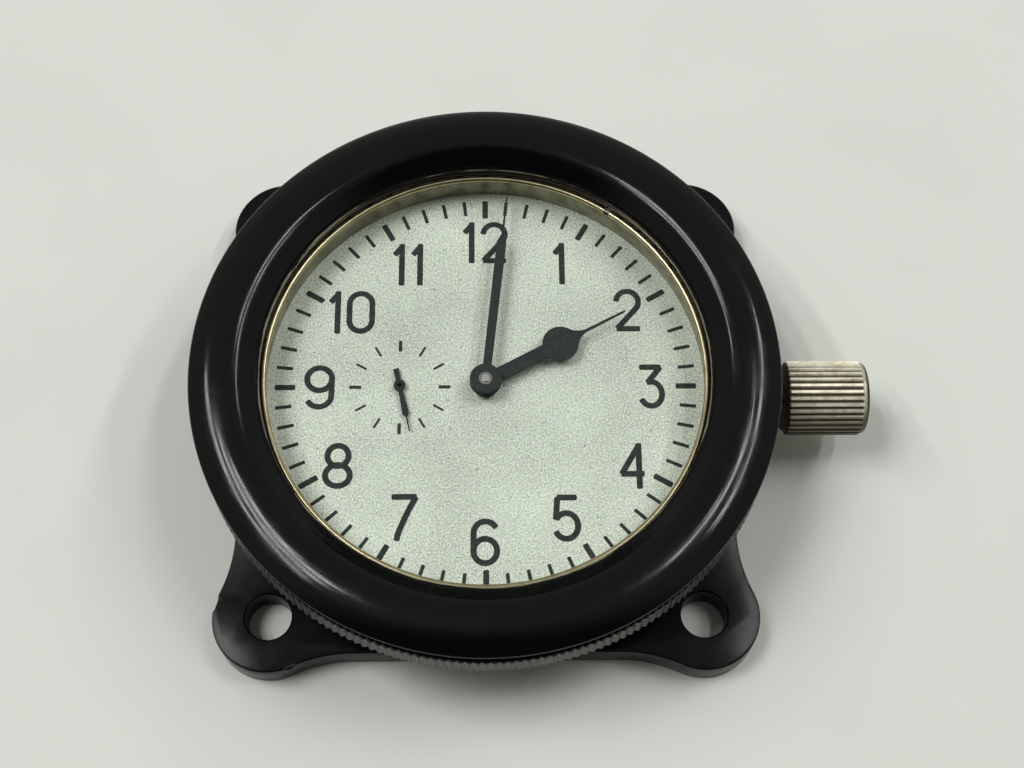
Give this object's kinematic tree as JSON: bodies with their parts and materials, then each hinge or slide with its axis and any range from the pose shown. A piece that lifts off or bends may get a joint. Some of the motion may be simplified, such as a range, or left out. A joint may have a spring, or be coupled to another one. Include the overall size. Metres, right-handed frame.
{
  "type": "aircraft_clock",
  "caption": "Mechanical panel clock with black flanged case, knurled gloss bezel, silvered dial with small seconds at nine and a winding crown at three",
  "frame": {"origin": "centre of the four mounting holes, on the flat back face of the flange", "axes": "+Z out of the dial, +Y to twelve o'clock, +X to three o'clock along the winding stem"},
  "size_m": [0.0906, 0.0776, 0.0241],
  "materials": {
    "black_phenolic": "moulded black phenolic, chipped at one ear",
    "black_gloss_paint": "gloss black enamel",
    "silvered_dial": "fine-grained matt silvering, black print",
    "glass": "clear flat glass",
    "wire_brass": "drawn bright wire",
    "rehaut_nickel": "turned, warm nickel plate",
    "hand_black": "satin black",
    "crown_nickel": "worn, yellowed nickel plate",
    "seal_rubber": "matt black rubber",
    "ring_aluminium": "turned",
    "bridge_nickel": "grained nickel plate",
    "steel": "polished steel",
    "blued_steel": "tempered blue steel",
    "wheel_brass": "gilt brass",
    "jewel": "polished ruby"
  },
  "bodies": {
    "case": {"case_body": "black_phenolic", "bezel": "black_gloss_paint", "dial": "silvered_dial", "glass": "glass", "glass_ring": "wire_brass", "rehaut_ring": "rehaut_nickel", "bezel_seal": "seal_rubber", "stem_seal": "seal_rubber", "movement_ring": "ring_aluminium", "main_plate": "bridge_nickel", "barrel_bridge": "bridge_nickel", "train_bridge": "bridge_nickel", "pallet_cock": "bridge_nickel", "balance_cock": "bridge_nickel", "crown_tube": "bridge_nickel", "clamp_screws": "steel", "dial_foot_screws": "steel", "hairspring_stud": "steel", "regulator": "steel", "bridge_screws": "blued_steel", "hairspring": "blued_steel", "click_screw": "blued_steel", "click_spring": "blued_steel", "crown_wheel_screw": "blued_steel", "lever_spring": "blued_steel", "yoke_spring": "blued_steel", "jewels": "jewel"},
    "minute": {"centre_wheel": "wheel_brass", "cannon_pinion": "steel", "minute_hand": "hand_black"},
    "third": {"third_wheel": "wheel_brass"},
    "seconds": {"fourth_wheel": "wheel_brass", "seconds_hand": "hand_black"},
    "escape": {"escape_wheel": "steel"},
    "barrel": {"barrel_drum": "wheel_brass", "barrel_cover": "wheel_brass", "mainspring": "blued_steel"},
    "minute_wheel": {"minute_wheel": "wheel_brass"},
    "hour": {"hour_wheel": "wheel_brass", "hour_hand": "hand_black"},
    "setting_wheel": {"setting_wheel": "steel"},
    "winding_pinion": {"winding_pinion": "steel"},
    "crown": {"crown": "crown_nickel", "winding_stem": "steel"},
    "clutch": {"sliding_clutch": "steel"},
    "crown_wheel": {"crown_wheel": "steel"},
    "ratchet": {"ratchet_wheel": "steel", "barrel_arbor": "steel"},
    "setting_lever": {"setting_lever": "steel"},
    "yoke": {"yoke": "steel"},
    "click": {"click": "steel"},
    "pallet": {"pallet_fork": "steel"},
    "balance": {"balance_wheel": "wheel_brass", "balance_staff": "steel"}
  },
  "joints": [
    {"name": "minute_turn", "type": "hinge", "parent": "case", "child": "minute", "pos_m": [0, 0, 0.01], "axis": [0, 0, 1], "continuous": true},
    {"name": "third_turn", "type": "hinge", "parent": "case", "child": "third", "pos_m": [-0.00621, -0.00266, 0.01], "axis": [0, 0, 1], "continuous": true},
    {"name": "seconds_turn", "type": "hinge", "parent": "case", "child": "seconds", "pos_m": [-0.01153, 0, 0.01], "axis": [0, 0, 1], "continuous": true},
    {"name": "escape_turn", "type": "hinge", "parent": "case", "child": "escape", "pos_m": [-0.01237, -0.00477, 0.01], "axis": [0, 0, 1], "continuous": true},
    {"name": "barrel_turn", "type": "hinge", "parent": "case", "child": "barrel", "pos_m": [0.00399, 0.00856, 0.01], "axis": [0, 0, 1], "continuous": true},
    {"name": "minute_wheel_turn", "type": "hinge", "parent": "case", "child": "minute_wheel", "pos_m": [0.00368, -0.00309, 0.01], "axis": [0, 0, 1], "continuous": true},
    {"name": "hour_turn", "type": "hinge", "parent": "case", "child": "hour", "pos_m": [0, 0, 0.01], "axis": [0, 0, 1], "continuous": true},
    {"name": "setting_wheel_turn", "type": "hinge", "parent": "case", "child": "setting_wheel", "pos_m": [0.00882, 0, 0.01], "axis": [0, 0, 1], "continuous": true},
    {"name": "crown_turn", "type": "hinge", "parent": "case", "child": "winding_pinion", "pos_m": [0.03, 0, 0.00985], "axis": [1, 0, 0], "continuous": true},
    {"name": "crown_pull", "type": "slide", "parent": "winding_pinion", "child": "crown", "axis": [1, 0, 0], "range_m": [0, 0.0012]},
    {"name": "clutch_slide", "type": "slide", "parent": "winding_pinion", "child": "clutch", "axis": [-1, 0, 0], "range_m": [0, 0.0007]},
    {"name": "crown_wheel_turn", "type": "hinge", "parent": "case", "child": "crown_wheel", "pos_m": [0.01141, 0, 0.01], "axis": [0, 0, 1], "continuous": true},
    {"name": "ratchet_turn", "type": "hinge", "parent": "case", "child": "ratchet", "pos_m": [0.00399, 0.00856, 0.01], "axis": [0, 0, 1], "continuous": true},
    {"name": "setting_lever_swing", "type": "hinge", "parent": "case", "child": "setting_lever", "pos_m": [0.01724, -0.005, 0.01], "axis": [0, 0, 1], "range_deg": [-13.75, 0]},
    {"name": "yoke_swing", "type": "hinge", "parent": "case", "child": "yoke", "pos_m": [0.01389, 0.007, 0.01], "axis": [0, 0, 1], "range_deg": [-5.73, 0]},
    {"name": "click_lift", "type": "hinge", "parent": "case", "child": "click", "pos_m": [-0.00461, 0.01353, 0.01], "axis": [0, 0, 1], "range_deg": [0, 8]},
    {"name": "pallet_rock", "type": "hinge", "parent": "case", "child": "pallet", "pos_m": [-0.01, -0.0076, 0.01], "axis": [0, 0, 1], "range_deg": [-5, 5]},
    {"name": "balance_swing", "type": "hinge", "parent": "case", "child": "balance", "pos_m": [-0.00652, -0.01173, 0.01], "axis": [0, 0, 1], "range_deg": [-270, 270]}
  ],
  "couplings": [
    {"joint": "third_turn", "follows": "minute_turn", "ratio": -8},
    {"joint": "seconds_turn", "follows": "minute_turn", "ratio": 60},
    {"joint": "escape_turn", "follows": "minute_turn", "ratio": -600},
    {"joint": "barrel_turn", "follows": "minute_turn", "ratio": -0.125},
    {"joint": "minute_wheel_turn", "follows": "minute_turn", "ratio": -0.33333},
    {"joint": "hour_turn", "follows": "minute_turn", "ratio": 0.083333},
    {"joint": "setting_wheel_turn", "follows": "minute_turn", "ratio": 0.5},
    {"joint": "crown_wheel_turn", "follows": "crown_turn", "ratio": 0.5},
    {"joint": "ratchet_turn", "follows": "crown_turn", "ratio": -0.27273},
    {"joint": "clutch_slide", "follows": "crown_pull", "ratio": 0.58333},
    {"joint": "setting_lever_swing", "follows": "crown_pull", "rad_per_m": -200},
    {"joint": "yoke_swing", "follows": "crown_pull", "rad_per_m": -83.333}
  ]
}
